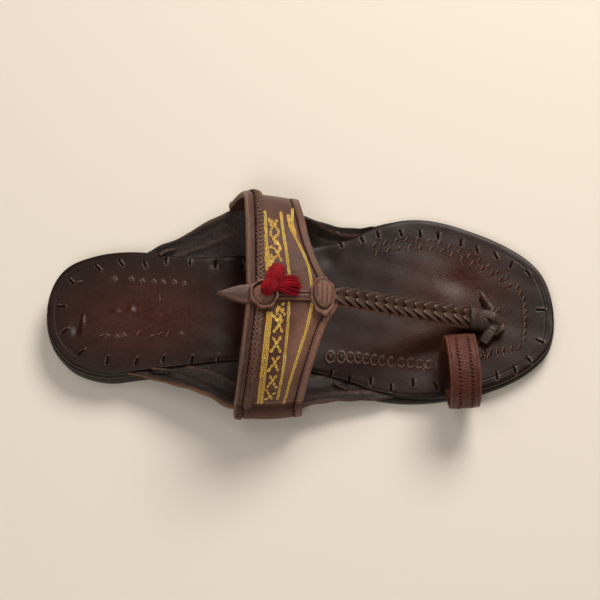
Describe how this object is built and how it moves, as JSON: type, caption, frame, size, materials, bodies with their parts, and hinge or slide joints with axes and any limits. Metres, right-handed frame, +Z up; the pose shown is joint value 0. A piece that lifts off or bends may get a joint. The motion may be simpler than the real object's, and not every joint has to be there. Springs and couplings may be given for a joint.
{
  "type": "kolhapuri sandal",
  "caption": "Left leather toe-ring sandal: flat layered sole with low stacked heel, side flaps, arched instep band, plaited thong and a big-toe loop.",
  "frame": {"origin": "middle of the footprint's box on the floor that the sandal stands on", "axes": "+X towards the toe, +Y towards the little toe, +Z up"},
  "size_m": [0.278, 0.1282, 0.0764],
  "materials": {
    "sole_leather": "waxed dark brown sole leather",
    "footbed_leather": "burnished red-brown footbed, darker at the rim",
    "ear_leather": "dark brown with raw tan edge",
    "strap_leather": "polished brown strap leather",
    "knot_leather": "dark waxed strip leather",
    "crimson_thread": "soft crimson thread",
    "gold_thread": "bright golden yellow stitching"
  },
  "bodies": {
    "root": {"outsole": "sole_leather", "heel_lift_lower": "sole_leather", "heel_lift_upper": "sole_leather", "ear_medial": "ear_leather", "ear_lateral": "ear_leather", "insole": "footbed_leather", "upper": "strap_leather", "toe_loop": "strap_leather", "toe_knot": "knot_leather", "front_button": "strap_leather", "rear_button": "strap_leather", "pompom": "crimson_thread"}
  },
  "joints": []
}
